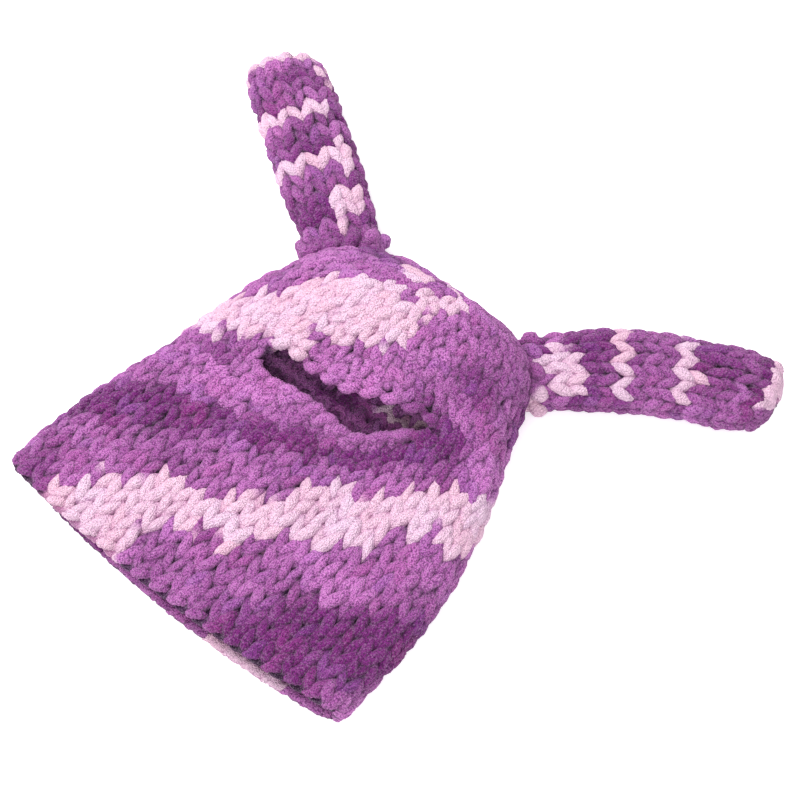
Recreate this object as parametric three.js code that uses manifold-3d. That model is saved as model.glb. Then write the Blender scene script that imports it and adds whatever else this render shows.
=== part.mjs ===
import * as THREE from 'three';
import { mergeVertices } from 'three/addons/utils/BufferGeometryUtils.js';
import Module from 'manifold-3d';

// A baby's knitted hood with two long ears, lying on its back.
// Millimetres, +Z up. +Y runs from the neck opening to the crown, and +X to the right of the eye slit as
// seen from above.

// Sizes of the hood
const HOOD_WIDTH = 236; // across the neck opening, which lies flat
const HOOD_LENGTH = 226; // from the hem to the far side of the crown
const HEM_HEIGHT = 27; // two layers of knitting and the air between them
const CROWN_HEIGHT = 60; // top of the puffed crown
const WALL = 9; // thickness of the knitting

// Sizes of the eye slit
const SLIT_PLACE = 131; // from the hem to the slit, on the hood's axis
const SLIT_LENGTH = 104;
const SLIT_SHIFT = -3; // the slit's middle lies this far to the right of the hood's axis
const SLIT_GAP = 15; // between the lips along most of the slit
const SLIT_YAWN = 11; // how much wider they part where the slit yawns
const SLIT_LIFT = 27; // the slit's right end lies this much nearer to the crown
const LIP_RISE = 10; // how far the upper lip bulges up
const LIP_DROP = 5; // how far the lower lip sags

// How the hood lies
const HEM_BOW = 8; // how far the middle of the hem reaches past its corners
const HEM_PEEP = 2; // how much further the back layer reaches there
const SKEW = 7; // degrees that the crown is turned against the hem's corners

// Sizes of the ears
const EAR_LENGTH = 159; // with the end that the crown covers
const EAR_WIDTH = 51;
const EAR_THICKNESS = 25;
const EAR_SPREAD = 104; // between the two roots, which lie under the crown's edge
const EAR_INSET = 22; // from the crown's far side back to the roots
const SEAM_GAP = 0.3; // between an ear and the hood that it is sewn to

// A knitted edge is rounded outwards by this share of its wall.
const EDGE_ROUND_SHARE = 0.3;

// The slit's form: how blunt its ends are, where it yawns and over what reach, where its right end starts to
// lift and over what reach (all from -1 at its left end to 1 at its right), and how far below and above it
// the lips' parting and the lift are felt, as shares of the way from hem to pole.
const SLIT_BLUNT = 0.4;
const YAWN = { at: 0.42, reach: 0.3 };
const LIFT = { at: 0.7, reach: 0.15, below: 0.25, above: 0.2 };
const LIP_REACH = { below: 0.1, above: 0.12 };

// The hem's bow fades out at this share of the way from hem to pole.
const HEM_FADE_SHARE = 0.35;

// The back is turned by this share of the front's turn.
const BACK_TURN = 0.4;

// The ears' form: corner radius as a share of half the height, how evenly the rows are spread, and the
// height of the tip as a share of the thickness.
const EAR_FOLD_SHARE = 0.9;
const EAR_EVEN_SHARE = 0.5;
const EAR_TIP_UP = 0.42;

// The hood's profile, from the hem to the crown's pole. Each of its rings runs through a point on the front
// and one on the back: frontAlong and backAlong are shares of the length, frontUp of the rise from the hem's
// height to the crown's, and backUp of the crown's height.
const PROFILE = [
  { at: 0.0, frontAlong: 0.0, frontUp: 0.0, backAlong: 0.0, backUp: 0.0 },
  { at: 0.18, frontAlong: 0.19, frontUp: 0.03, backAlong: 0.19, backUp: 0.0 },
  { at: 0.34, frontAlong: 0.36, frontUp: 0.07, backAlong: 0.37, backUp: 0.0 },
  { at: 0.5, frontAlong: 0.53, frontUp: 0.16, backAlong: 0.57, backUp: 0.0 },
  { at: 0.58, frontAlong: 0.615, frontUp: 0.4, backAlong: 0.68, backUp: 0.0 },
  { at: 0.67, frontAlong: 0.71, frontUp: 0.8, backAlong: 0.8, backUp: 0.0 },
  { at: 0.78, frontAlong: 0.815, frontUp: 1.0, backAlong: 0.935, backUp: 0.06 },
  { at: 0.88, frontAlong: 0.895, frontUp: 0.98, backAlong: 1.0, backUp: 0.36 },
  { at: 0.95, frontAlong: 0.94, frontUp: 0.86, backAlong: 0.985, backUp: 0.66 },
  { at: 1.0, frontAlong: 0.965, frontUp: 0.74, backAlong: 0.965, backUp: 0.857 },
];

// The rings' forms. width and centre are shares of the hem's half width, and turn of the skew. fold is the
// ring's corner radius as a share of half its height, and belly is how much of the rest bulges down.
const RINGS = [
  { at: 0.0, width: 1.0, centre: -0.07, turn: 0.3, fold: 1.0, belly: 0.0 },
  { at: 0.18, width: 0.99, centre: -0.045, turn: 0.35, fold: 0.9, belly: 0.0 },
  { at: 0.34, width: 0.945, centre: -0.015, turn: 0.4, fold: 0.82, belly: 0.0 },
  { at: 0.5, width: 0.865, centre: -0.01, turn: 0.5, fold: 0.74, belly: 0.0 },
  { at: 0.58, width: 0.81, centre: -0.02, turn: 0.6, fold: 0.7, belly: 0.0 },
  { at: 0.67, width: 0.74, centre: -0.025, turn: 0.7, fold: 0.66, belly: 0.0 },
  { at: 0.78, width: 0.625, centre: -0.015, turn: 0.85, fold: 0.66, belly: 0.1 },
  { at: 0.88, width: 0.46, centre: 0.01, turn: 1.0, fold: 0.7, belly: 0.3 },
  { at: 0.95, width: 0.26, centre: 0.03, turn: 1.0, fold: 0.8, belly: 0.5 },
  { at: 1.0, width: 0.0, centre: 0.04, turn: 1.0, fold: 1.0, belly: 0.5 },
];

// Dents and swells of the front: x is a share of the half width, along of the length, wide and long are
// the reach in the same shares, and rise is a share of the wall's thickness.
const SWELLS = [
  { x: -0.5, along: 0.47, wide: 0.3, long: 0.09, rise: -0.35 },
  { x: 0.3, along: 0.42, wide: 0.34, long: 0.1, rise: -0.3 },
  { x: 0.52, along: 0.72, wide: 0.2, long: 0.13, rise: 0.45 },
  { x: -0.3, along: 0.78, wide: 0.24, long: 0.1, rise: 0.25 },
  { x: 0.2, along: 0.12, wide: 0.4, long: 0.1, rise: 0.25 },
  { x: -0.62, along: 0.2, wide: 0.22, long: 0.16, rise: 0.2 },
];

// Sections of an ear from its root to its tip, as shares of its width and thickness.
const EAR_SECTIONS = [
  { at: 0.0, width: 0.8, thick: 0.9 },
  { at: 0.25, width: 0.92, thick: 0.95 },
  { at: 0.45, width: 1.0, thick: 1.0 },
  { at: 0.7, width: 0.97, thick: 0.95 },
  { at: 0.88, width: 0.95, thick: 0.95 },
  { at: 0.96, width: 0.74, thick: 0.8 },
  { at: 1.0, width: 0.0, thick: 0.0 },
];

// Each ear's side, where it points in degrees from the hood's axis, its sideways bend as a share of its
// length, and how far its root is shifted towards the crown as a share of its width.
const EARS = [
  { name: 'ear_left', side: -1, angle: 57.5, bend: 0.0, shift: 0.0 },
  { name: 'ear_right', side: 1, angle: 56, bend: 0.065, shift: 0.1 },
];

// The middle of the hood's front, as a share of the way round from the middle of its back.
const MID_FRONT = 0.5;

// How finely the skins are divided.
const SLIT_COLUMNS = 14;
const SIDE_COLUMNS = 18; // from either end of the slit round to the middle of the back
const ROWS_BELOW_SLIT = 13;
const ROWS_ABOVE_SLIT = 15;
const EAR_COLUMNS = 18;
const EAR_ROWS = 14;
const RING_STEPS = 240; // points of a ring before it is divided evenly

/** Value of one column of a table at a place along it, smoothly between the rows. */
function along(table, column, at) {
  const last = table.length - 1;
  let i = 0;
  while (i < last - 1 && at > table[i + 1].at) i += 1;
  const slope = (k) => {
    const before = table[Math.max(k - 1, 0)];
    const after = table[Math.min(k + 1, last)];
    return (after[column] - before[column]) / (after.at - before.at);
  };
  const [a, b] = [table[i], table[i + 1]];
  const span = b.at - a.at;
  const t = (at - a.at) / span;
  return (
    a[column] * (2 * t ** 3 - 3 * t ** 2 + 1) +
    b[column] * (3 * t ** 2 - 2 * t ** 3) +
    span * (slope(i) * (t ** 3 - 2 * t ** 2 + t) + slope(i + 1) * (t ** 3 - t ** 2))
  );
}

/**
 * Closed outline of a flattened tube lying on its lower side: a core of two half ellipses, one above and
 * one below, widened all round by the corner radius. Starts at the middle of the lower side.
 */
function ringOutline(halfWidth, height, fold, belly) {
  const corner = (fold * height) / 2;
  const core = Math.max(halfWidth - corner, 0);
  const rest = height - 2 * corner;
  const reach = { down: rest * belly, up: rest * (1 - belly) };
  const level = corner + reach.down;
  const points = [];
  for (let k = 0; k <= RING_STEPS; k += 1) {
    const turn = -Math.PI / 2 + (2 * Math.PI * k) / RING_STEPS;
    const [c, s] = [Math.cos(turn), Math.sin(turn)];
    const bulge = s < 0 ? reach.down : reach.up;
    const size = Math.hypot(core * c, bulge * s);
    const x = size > 1e-9 ? (core * core * c) / size : 0;
    const up = size > 1e-9 ? (bulge * bulge * s) / size : 0;
    points.push(new THREE.Vector2(x + corner * c, level + up + corner * s));
  }
  return points;
}

/** Points at given shares of the way round an outline. */
function evenly(points, shares) {
  const lengths = [0];
  for (let k = 1; k < points.length; k += 1) {
    lengths.push(lengths[k - 1] + points[k].distanceTo(points[k - 1]));
  }
  const total = lengths[lengths.length - 1];
  let k = 1;
  return shares.map((share) => {
    const goal = share * total;
    while (k < points.length - 1 && lengths[k] < goal) k += 1;
    const t = total > 0 ? (goal - lengths[k - 1]) / Math.max(lengths[k] - lengths[k - 1], 1e-9) : 0;
    return points[k - 1].clone().lerp(points[k], t);
  });
}

/** The place along a table where a rising column reaches a value. */
function placeOf(table, column, value) {
  let [low, high] = [0, 1];
  for (let k = 0; k < 40; k += 1) {
    const middle = (low + high) / 2;
    if (along(table, column, middle) < value) low = middle;
    else high = middle;
  }
  return (low + high) / 2;
}

/** The plane and the outline of one ring of the hood. */
function hoodSection(at) {
  const profile = (column) => along(PROFILE, column, at);
  const ring = (column) => along(RINGS, column, at);
  const front = new THREE.Vector2(
    profile('frontAlong') * HOOD_LENGTH,
    HEM_HEIGHT + profile('frontUp') * (CROWN_HEIGHT - HEM_HEIGHT),
  );
  const back = new THREE.Vector2(
    profile('backAlong') * HOOD_LENGTH,
    Math.max(profile('backUp'), 0) * CROWN_HEIGHT,
  );
  const height = front.distanceTo(back);
  const halfWidth = (ring('width') * HOOD_WIDTH) / 2;
  return {
    back,
    up: front.clone().sub(back).normalize(),
    height,
    centre: (ring('centre') * HOOD_WIDTH) / 2,
    halfWidth,
    slope: ring('turn') * Math.tan(THREE.MathUtils.degToRad(SKEW)),
    outline: ringOutline(halfWidth, height, ring('fold'), Math.max(ring('belly'), 0)),
  };
}

const SLIT_AT = placeOf(PROFILE, 'frontAlong', SLIT_PLACE / HOOD_LENGTH);

/** Shares of the way round the hood at which its columns stand, with one at either end of the slit. */
function hoodShares() {
  const { outline } = hoodSection(SLIT_AT);
  const girth = outline.slice(1).reduce((sum, point, k) => sum + point.distanceTo(outline[k]), 0);
  const right = MID_FRONT - (SLIT_SHIFT + SLIT_LENGTH / 2) / girth;
  const left = MID_FRONT - (SLIT_SHIFT - SLIT_LENGTH / 2) / girth;
  const shares = [];
  for (let k = 0; k < SIDE_COLUMNS; k += 1) shares.push((right * k) / SIDE_COLUMNS);
  for (let k = 0; k < SLIT_COLUMNS; k += 1) shares.push(right + ((left - right) * k) / SLIT_COLUMNS);
  for (let k = 0; k <= SIDE_COLUMNS; k += 1) shares.push(left + ((1 - left) * k) / SIDE_COLUMNS);
  return shares;
}

const COLUMNS = hoodShares();
const LIPS = [SIDE_COLUMNS, SIDE_COLUMNS + SLIT_COLUMNS]; // the columns at the two ends of the slit

/** A bell that is 1 at a place and fades over a reach. */
function bell(value, place, reach) {
  return Math.exp(-(((value - place) / reach) ** 2));
}

/** A column's place along the slit: -1 at its left end, 1 at its right. */
function alongSlit(column) {
  return 1 - (2 * (column - LIPS[0])) / SLIT_COLUMNS;
}

/** How far the lips part at a column. */
function parting(column) {
  const s = alongSlit(column);
  if (Math.abs(s) >= 1) return 0;
  return (SLIT_GAP + SLIT_YAWN * bell(s, YAWN.at, YAWN.reach)) * (1 - s * s) ** SLIT_BLUNT;
}

/**
 * One row of the hood's outer skin. lip is -1 from the hem to the lower lip, and 1 from the upper lip to the
 * crown.
 */
function hoodRow(at, lip) {
  const section = hoodSection(at);
  const side = lip < 0 ? 'below' : 'above';
  const lips = bell(at, SLIT_AT, LIP_REACH[side]);
  const lifted = bell(at, SLIT_AT, LIFT[side]) * SLIT_LIFT;
  const fade = Math.max(1 - at / HEM_FADE_SHARE, 0) ** 2;
  return evenly(section.outline, COLUMNS).map((point, column) => {
    const front = section.height > 0 ? THREE.MathUtils.clamp(point.y / section.height, 0, 1) : 0;
    const x = section.centre + point.x;
    const inner = 1 - Math.min(Math.abs(point.x / section.halfWidth), 1) ** 2;
    const bow = (HEM_BOW + HEM_PEEP * (1 - front)) * inner * fade;
    const shear = section.slope * x * (BACK_TURN + (1 - BACK_TURN) * front);
    const rightward = 1 / (1 + Math.exp((LIFT.at - alongSlit(column)) / LIFT.reach));
    const lift = lifted * front * inner * rightward;
    const open = lips * parting(column);
    const y = section.back.x + section.up.x * point.y + shear + lift - bow + (lip * open) / 2;
    const swell = SWELLS.reduce((sum, dent) => {
      const beside = bell(x / (HOOD_WIDTH / 2), dent.x, dent.wide);
      const upHood = bell(y / HOOD_LENGTH, dent.along, dent.long);
      return sum + dent.rise * WALL * beside * upHood * front * front;
    }, 0);
    const bulge = (open / (SLIT_GAP + SLIT_YAWN)) * (lip < 0 ? -LIP_DROP : LIP_RISE);
    const z = section.back.y + section.up.y * point.y + swell + bulge;
    return new THREE.Vector3(x, y, Math.max(z, 0));
  });
}

/** The pole that closes the crown. */
function hoodPole() {
  const { back, up, height, centre, slope } = hoodSection(1);
  const half = height / 2;
  return new THREE.Vector3(centre, back.x + up.x * half + slope * centre, back.y + up.y * half);
}

/** Outward unit normals of a row from its neighbours: the cross product of its two directions. */
function rowNormals(before, row, after) {
  const last = row.length - 1;
  return row.map((point, j) => {
    const round = row[j === last ? 1 : j + 1].clone().sub(row[j === 0 ? last - 1 : j - 1]);
    return after[j].clone().sub(before[j]).cross(round).normalize();
  });
}

/** A run of rows moved along their normals by a distance, inwards if it is negative. */
function offsetRows(rows, pole, distance) {
  const closing = pole ? rows[0].map(() => pole) : rows[rows.length - 1];
  return rows.map((row, i) => {
    const normals = rowNormals(rows[Math.max(i - 1, 0)], row, rows[i + 1] ?? closing);
    return row.map((point, j) => point.clone().addScaledVector(normals[j], distance));
  });
}

/** A row midway between an outer and an inner edge, pushed out past the rows that it closes. */
function edgeRow(outer, inner, behind, share) {
  return outer.map((point, j) => {
    const push = point.clone().sub(behind[j]).normalize().multiplyScalar(WALL * EDGE_ROUND_SHARE * share(j));
    return point.clone().lerp(inner[j], 0.5).add(push);
  });
}

/** Collects the triangles of a closed skin. */
class Skin {
  constructor() {
    this.positions = [];
  }

  triangle(...corners) {
    corners.forEach((corner) => this.positions.push(corner.x, corner.y, corner.z));
  }

  /** The band from one row to the next, between two columns. */
  band(a, b, from = 0, to = a.length - 1) {
    for (let j = from; j < to; j += 1) {
      this.triangle(a[j], b[j], b[j + 1]);
      this.triangle(a[j], b[j + 1], a[j + 1]);
    }
  }

  /** Bands through a run of rows. */
  bands(rows) {
    for (let i = 1; i < rows.length; i += 1) this.band(rows[i - 1], rows[i]);
  }

  /** The fan from a row to the point that it closes on. */
  closeOn(row, pole) {
    for (let j = 1; j < row.length; j += 1) this.triangle(row[j - 1], pole, row[j]);
  }

  /** The fan from a point to the row that opens from it. */
  openFrom(pole, row) {
    for (let j = 1; j < row.length; j += 1) this.triangle(pole, row[j - 1], row[j]);
  }

  geometry() {
    const soup = new THREE.BufferGeometry();
    soup.setAttribute('position', new THREE.Float32BufferAttribute(this.positions, 3));
    return mergeVertices(soup);
  }
}

/** Places of the rows from one place to another, both included. */
function steps(from, to, count) {
  return Array.from({ length: count + 1 }, (unused, k) => from + ((to - from) * k) / count);
}

/** Unit vector from the crown's pole into the hood. */
function crownInwards(row, pole) {
  const sum = new THREE.Vector3();
  for (let j = 1; j < row.length; j += 1) {
    const middle = row[j].clone().add(row[j - 1]).multiplyScalar(0.5);
    sum.add(middle.sub(pole).cross(row[j].clone().sub(row[j - 1])));
  }
  return sum.normalize();
}

/**
 * The hood's skin moved along its normals by a distance: the rows from the hem to the lower lip, those from
 * the upper lip to the crown, and the pole. Beside the slit both lips are one row.
 */
function hoodSkin(distance) {
  const below = steps(0, SLIT_AT, ROWS_BELOW_SLIT).map((at) => hoodRow(at, -1));
  const above = steps(SLIT_AT, 1, ROWS_ABOVE_SLIT).slice(0, -1).map((at) => hoodRow(at, 1));
  const pole = hoodPole();
  const inwards = crownInwards(above[above.length - 1], pole);
  const moved = { below: offsetRows(below, null, distance), above: offsetRows(above, pole, distance) };
  const low = moved.below[ROWS_BELOW_SLIT];
  moved.above[0].forEach((point, j) => {
    if (j > LIPS[0] && j < LIPS[1]) return;
    low[j].lerp(point, 0.5);
    point.copy(low[j]);
  });
  return { ...moved, pole: pole.addScaledVector(inwards, -distance) };
}

/** The hood: an outer and an inner skin, joined round the hem and round the lips of the slit. */
function hoodGeometry() {
  const outer = hoodSkin(0);
  const inner = hoodSkin(-WALL);
  const [low, innerLow] = [outer.below[ROWS_BELOW_SLIT], inner.below[ROWS_BELOW_SLIT]];
  const share = (j) => Math.min(parting(j) / SLIT_GAP, 1);
  const lowerLip = edgeRow(low, innerLow, outer.below[ROWS_BELOW_SLIT - 1], share);
  const upperLip = edgeRow(outer.above[0], inner.above[0], outer.above[1], share);
  const hem = edgeRow(outer.below[0], inner.below[0], outer.below[1], () => 1);

  const skin = new Skin();
  skin.bands(outer.below);
  skin.band(low, lowerLip, ...LIPS);
  skin.band(lowerLip, innerLow, ...LIPS);
  skin.bands([...inner.below].reverse());
  skin.band(inner.below[0], hem);
  skin.band(hem, outer.below[0]);
  skin.bands(outer.above);
  skin.closeOn(outer.above[ROWS_ABOVE_SLIT - 1], outer.pole);
  skin.openFrom(inner.pole, inner.above[ROWS_ABOVE_SLIT - 1]);
  skin.bands([...inner.above].reverse());
  skin.band(inner.above[0], upperLip, ...LIPS);
  skin.band(upperLip, outer.above[0], ...LIPS);
  return skin.geometry();
}

/** The room that the hood takes up, with its slit and its hem shut, grown by a gap. */
function hoodRoom(gap) {
  const { below, above, pole } = hoodSkin(gap);
  const mouth = new THREE.Vector3();
  below[0].forEach((point) => mouth.addScaledVector(point, 1 / below[0].length));
  const skin = new Skin();
  skin.openFrom(mouth, below[0]);
  skin.bands(below);
  skin.band(below[ROWS_BELOW_SLIT], above[0], ...LIPS);
  skin.bands(above);
  skin.closeOn(above[ROWS_ABOVE_SLIT - 1], pole);
  return skin.geometry();
}

/** The rows and the tip of one skin of an ear, thinner than the ear by a distance all round. */
function earRows(ear, thinner) {
  const angle = THREE.MathUtils.degToRad(ear.angle);
  const forward = new THREE.Vector3(ear.side * Math.sin(angle), Math.cos(angle), 0);
  const aside = new THREE.Vector3(-ear.side * Math.cos(angle), Math.sin(angle), 0);
  const inset = EAR_INSET - ear.shift * EAR_WIDTH;
  const root = new THREE.Vector3((ear.side * EAR_SPREAD) / 2, HOOD_LENGTH - inset, 0);
  const bend = ear.bend * EAR_LENGTH;
  const reach = EAR_LENGTH - thinner;
  const shares = steps(0, 1, EAR_COLUMNS);
  const rows = steps(0, 1, EAR_ROWS).slice(0, -1).map((step) => {
    const at = Math.sin((step * Math.PI) / 2) * (1 - EAR_EVEN_SHARE) + step * EAR_EVEN_SHARE;
    const turn = Math.PI * at;
    const middle = root.clone();
    middle.addScaledVector(forward, reach * at).addScaledVector(aside, bend * Math.sin(turn));
    const across = forward.clone().addScaledVector(aside, ear.bend * Math.PI * Math.cos(turn));
    across.normalize().cross(new THREE.Vector3(0, 0, 1));
    const halfWidth = along(EAR_SECTIONS, 'width', at) * (EAR_WIDTH / 2 - thinner);
    const height = along(EAR_SECTIONS, 'thick', at) * (EAR_THICKNESS - 2 * thinner);
    return evenly(ringOutline(halfWidth, height, EAR_FOLD_SHARE, 0), shares).map((point) => {
      return middle.clone().addScaledVector(across, point.x).setZ(thinner + point.y);
    });
  });
  const tip = root.clone().addScaledVector(forward, reach);
  tip.setZ(thinner + EAR_TIP_UP * (EAR_THICKNESS - 2 * thinner));
  return { rows, tip };
}

/** An ear: an outer and an inner skin, closed at the tip and open where the ear is sewn on. */
function earGeometry(ear) {
  const outer = earRows(ear, 0);
  const inner = earRows(ear, WALL);
  const skin = new Skin();
  skin.bands(outer.rows);
  skin.closeOn(outer.rows[EAR_ROWS - 1], outer.tip);
  skin.openFrom(inner.tip, inner.rows[EAR_ROWS - 1]);
  skin.bands([...inner.rows].reverse());
  skin.band(inner.rows[0], outer.rows[0]);
  return skin.geometry();
}

const wasm = await Module();
wasm.setup();

/** A closed geometry as a solid that can be cut. */
function solid(geometry) {
  const vertProperties = new Float32Array(geometry.attributes.position.array);
  const triVerts = new Uint32Array(geometry.index.array);
  return new wasm.Manifold(new wasm.Mesh({ numProp: 3, vertProperties, triVerts }));
}

/** A cut solid as a geometry again. */
function geometryOf(cut) {
  const mesh = cut.getMesh();
  const geometry = new THREE.BufferGeometry();
  geometry.setAttribute('position', new THREE.BufferAttribute(mesh.vertProperties, 3));
  geometry.setIndex(new THREE.BufferAttribute(mesh.triVerts, 1));
  return geometry;
}

/** A named piece of knitting. */
function piece(name, geometry, color) {
  geometry.computeVertexNormals();
  const material = new THREE.MeshStandardMaterial({ color, roughness: 0.96, metalness: 0 });
  const mesh = new THREE.Mesh(geometry, material);
  mesh.name = name;
  return mesh;
}

const hat = new THREE.Group();
hat.add(piece('hood', hoodGeometry(), 0xa457ad));
const room = solid(hoodRoom(SEAM_GAP));
EARS.forEach((ear) => {
  hat.add(piece(ear.name, geometryOf(solid(earGeometry(ear)).subtract(room)), 0x96479c));
});

// The origin is the middle of the whole outline, on the surface that the hat lies on.
const middle = new THREE.Box3().setFromObject(hat).getCenter(new THREE.Vector3());
hat.position.set(-middle.x, -middle.y, 0);

export default hat;
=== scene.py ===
"""A baby's hood with long ears, knitted in chunky chenille yarn and lying on its back.

Every stitch is real yarn: a course is one tube that winds through its loops, laid on the skins of the hood
and of the ears. Lengths are in millimetres here and become metres when a mesh is made.
"""

import logging
import math
from collections.abc import Callable
from dataclasses import dataclass, field, replace
from enum import Enum, IntEnum
from functools import partial
from typing import Any

import bpy
import numpy as np
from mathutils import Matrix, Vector


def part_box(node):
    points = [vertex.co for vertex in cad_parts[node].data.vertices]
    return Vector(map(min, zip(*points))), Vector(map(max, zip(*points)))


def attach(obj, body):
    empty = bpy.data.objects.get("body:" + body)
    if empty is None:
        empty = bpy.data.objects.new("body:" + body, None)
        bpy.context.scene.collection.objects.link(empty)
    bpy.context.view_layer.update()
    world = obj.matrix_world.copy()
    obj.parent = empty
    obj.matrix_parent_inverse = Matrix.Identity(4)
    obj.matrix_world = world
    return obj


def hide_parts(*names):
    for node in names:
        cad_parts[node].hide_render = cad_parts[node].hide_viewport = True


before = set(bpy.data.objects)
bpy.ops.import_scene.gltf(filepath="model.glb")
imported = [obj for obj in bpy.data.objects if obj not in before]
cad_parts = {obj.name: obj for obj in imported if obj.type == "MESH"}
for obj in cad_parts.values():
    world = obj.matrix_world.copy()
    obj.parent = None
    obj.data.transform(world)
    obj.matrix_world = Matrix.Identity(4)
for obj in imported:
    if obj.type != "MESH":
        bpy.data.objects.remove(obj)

LOG = logging.getLogger("knitted_hood")
MM = 0.001
TURN = 2 * math.pi
BODY = "root"


# How many points an outline is walked by
FINE = 481

# Seeds: of each panel, of the hood's courses, and of the ears and their courses, with a step for each side
PANEL_SEED = 1000
HOOD_SEED = 40
EAR_SEEDS = (9000, 500)
EAR_ROW_SEEDS = (300, 40)

Array = np.ndarray
Triple = tuple[float, float, float]
Shares = tuple[Array, Array, Array]
Tone = Callable[[Array], Shares]


# Small tools for arrays


def unit(vectors: Array) -> Array:
    """Vectors divided by their own lengths."""
    return vectors / np.maximum(np.linalg.norm(vectors, axis=-1, keepdims=True), 1e-12)


def bell(value: Array, place: float, reach: float) -> Array:
    """A bell that is 1 at a place and fades over a reach: e to the minus square of their ratio."""
    return np.exp(-(((value - place) / reach) ** 2))


def smooth(value: Array, low: float, high: float) -> Array:
    """A smooth step from 0 at low to 1 at high: 3 t squared minus 2 t cubed."""
    t = np.clip((value - low) / (high - low), 0.0, 1.0)
    return t * t * (3 - 2 * t)


def mix(a: Array, b: Array, share: Array) -> Array:
    """Colours a and b mixed, with that share of b."""
    return a + (b - a) * np.asarray(share)[..., None]


def linear(red: float, green: float, blue: float) -> Array:
    """A display colour from 0 to 255 as the linear colour that shaders use."""
    return (np.array([red, green, blue]) / 255.0) ** 2.2


class Table:
    """Rows of numbers under named columns, read smoothly between the rows."""

    def __init__(self, columns: str, rows: list[list[float]]) -> None:
        """Names the rows' columns by words parted by spaces. The first is the place along the table."""
        self.columns = dict(zip(columns.split(), np.array(rows, float).T))
        self.places = self.columns[columns.split()[0]]

    def along(self, name: str, at: Array) -> Array:
        """Cubic curve through a column, with each row's slope taken from the rows beside it.

        Args:
            name: The column.
            at: Places along the table.

        Returns:
            The column's values there.
        """
        x, y = self.places, self.columns[name]
        before = np.maximum(np.arange(len(x)) - 1, 0)
        after = np.minimum(np.arange(len(x)) + 1, len(x) - 1)
        slope = (y[after] - y[before]) / (x[after] - x[before])
        i = np.clip(np.searchsorted(x, at, side="left") - 1, 0, len(x) - 2)
        span = x[i + 1] - x[i]
        t = (at - x[i]) / span
        return (
            y[i] * (2 * t**3 - 3 * t**2 + 1)
            + y[i + 1] * (3 * t**2 - 2 * t**3)
            + span * (slope[i] * (t**3 - 2 * t**2 + t) + slope[i + 1] * (t**3 - t**2))
        )


def ring_outlines(half_width: Array, height: Array, fold: Array, belly: Array, shares: Array) -> Array:
    """Outlines of flattened tubes lying on their lower sides, divided evenly along their length.

    A core of two half ellipses, one above and one below, is widened all round by the corner radius. Each
    outline starts at the middle of its lower side.

    Args:
        half_width: Half the width of each ring.
        height: The height of each ring.
        fold: The corner radius as a share of half the height.
        belly: How much of the rest bulges down.
        shares: Places round the ring from 0 to 1.

    Returns:
        Across and up, for each ring and each share.
    """
    turn = np.linspace(-math.pi / 2, 1.5 * math.pi, FINE)[None, :]
    c, s = np.cos(turn), np.sin(turn)
    corner = (fold * height / 2)[:, None]
    core = np.maximum(half_width[:, None] - corner, 0)
    rest = height[:, None] - 2 * corner
    down, up = rest * belly[:, None], rest * (1 - belly[:, None])
    bulge = np.where(s < 0, down, up)
    size = np.maximum(np.hypot(core * c, bulge * s), 1e-9)
    across = core**2 * c / size + corner * c
    rise = corner + down + bulge**2 * s / size + corner * s
    steps = np.hypot(np.diff(across, axis=1), np.diff(rise, axis=1))
    length = np.concatenate([np.zeros((len(steps), 1)), np.cumsum(steps, axis=1)], axis=1)
    length /= np.maximum(length[:, -1:], 1e-9)
    return np.stack(
        [[np.interp(shares, walk, line) for walk, line in zip(length, lines)] for lines in (across, rise)],
        axis=-1,
    )


class Skin:
    """A closed surface of rings: u goes round it from 0 to 1, and v goes along it from 0 to 1."""

    def __init__(self, points: Array, settle: float = 1.0) -> None:
        """Works out the outward normals: along the surface crossed with round it.

        Args:
            points: Places on rings by shares by three, the last share repeating the first.
            settle: The place along from which the normals turn into their mean, as they do at a pole.
        """
        self.points = points
        ahead = np.roll(points[:, :-1], -1, axis=1) - np.roll(points[:, :-1], 1, axis=1)
        normals = unit(np.cross(np.gradient(points[:, :-1], axis=0), ahead))
        rows = len(points) - 1
        start = int(settle * rows)
        if start < rows:
            pole = unit(normals[start].mean(axis=0))
            share = (np.arange(start, rows + 1) - start)[:, None, None] / (rows - start)
            normals[start:] = unit(normals[start] * (1 - share) + pole * share)
        self.normals = np.concatenate([normals, normals[:, :1]], axis=1)

    def read(self, grid: Array, u: Array, v: Array) -> Array:
        """A grid's value between its four nearest points.

        Args:
            grid: The points or the normals.
            u: Places round.
            v: Places along.

        Returns:
            One row of three for each place.
        """
        rows, columns = grid.shape[0] - 1, grid.shape[1] - 1
        x, y = np.mod(u, 1.0) * columns, np.clip(v, 0, 1) * rows
        i, j = np.minimum(y.astype(int), rows - 1), np.minimum(x.astype(int), columns - 1)
        a, b = (x - j)[..., None], (y - i)[..., None]
        low = grid[i, j] * (1 - a) + grid[i, j + 1] * a
        high = grid[i + 1, j] * (1 - a) + grid[i + 1, j + 1] * a
        return low * (1 - b) + high * b

    def place(self, u: Array, v: Array, out: Array) -> tuple[Array, Array]:
        """Points at distances out from places round and along, and the outward normals there."""
        normals = unit(self.read(self.normals, u, v))
        return self.read(self.points, u, v) + normals * np.asarray(out)[..., None], normals


# The two forms that are knitted


class Lip(IntEnum):
    """The slit's lips, as the way that each is moved along the hood to open it."""

    LOWER = -1
    UPPER = 1


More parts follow.
